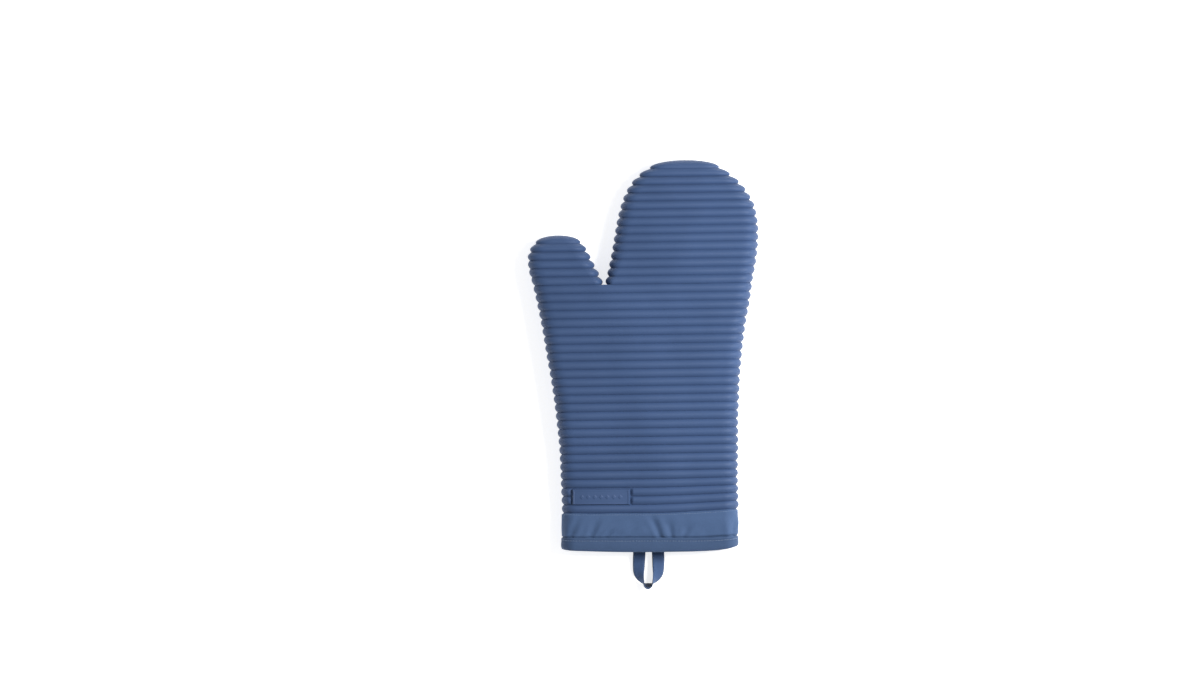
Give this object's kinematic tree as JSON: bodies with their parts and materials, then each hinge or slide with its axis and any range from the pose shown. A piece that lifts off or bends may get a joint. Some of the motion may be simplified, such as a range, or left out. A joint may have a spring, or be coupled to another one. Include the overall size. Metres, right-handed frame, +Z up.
{
  "type": "oven mitt",
  "caption": "Padded oven mitt with a ribbed rubber shell, separate thumb, cloth cuff with bound hem, and a hanging loop at the wrist, lying flat.",
  "frame": {"origin": "on the surface the mitt lies on, below the middle of its outline, hanging loop included", "axes": "+Y from the wrist to the fingertips, +X across the mitt to the side away from the thumb, +Z up through the thickness, out of the palm side"},
  "size_m": [0.194, 0.3644, 0.03],
  "materials": {
    "silicone": "moulded silicone, satin",
    "twill": "fine cotton twill",
    "twill_tape": "folded twill tape",
    "lining": "brushed cotton lining, quilted",
    "wadding": "polyester wadding",
    "thread": "polyester sewing thread"
  },
  "bodies": {
    "hand": {"shell_hand": "silicone", "cuff_band": "twill", "hem_binding": "twill", "hem_thread": "thread", "cuff_join_thread": "thread", "loop_ends": "twill_tape", "loop_tacks": "thread", "wadding_palm_hand": "wadding", "wadding_back_hand": "wadding", "lining_palm_hand": "lining", "lining_back_hand": "lining"},
    "fingers": {"shell_fingers": "silicone", "wadding_palm_fingers": "wadding", "wadding_back_fingers": "wadding", "lining_palm_fingers": "lining", "lining_back_fingers": "lining"},
    "thumb": {"shell_thumb": "silicone", "wadding_palm_thumb": "wadding", "wadding_back_thumb": "wadding", "lining_palm_thumb": "lining", "lining_back_thumb": "lining"},
    "loop": {"hanging_loop": "twill_tape"}
  },
  "joints": [
    {"name": "finger_fold", "type": "hinge", "parent": "hand", "child": "fingers", "pos_m": [0.03285, 0.09149, 0.03], "axis": [1, 0, 0], "range_deg": [0, 50], "stiffness_Nm_per_rad": 0.6},
    {"name": "thumb_fold", "type": "hinge", "parent": "hand", "child": "thumb", "pos_m": [-0.06415, 0.08799, 0.03], "axis": [1, 0, 0], "range_deg": [0, 45], "stiffness_Nm_per_rad": 0.3},
    {"name": "loop_swing", "type": "hinge", "parent": "hand", "child": "loop", "pos_m": [0.00585, -0.14903, 0.00475], "axis": [1, 0, 0], "range_deg": [-80, 80], "stiffness_Nm_per_rad": 0.002}
  ]
}
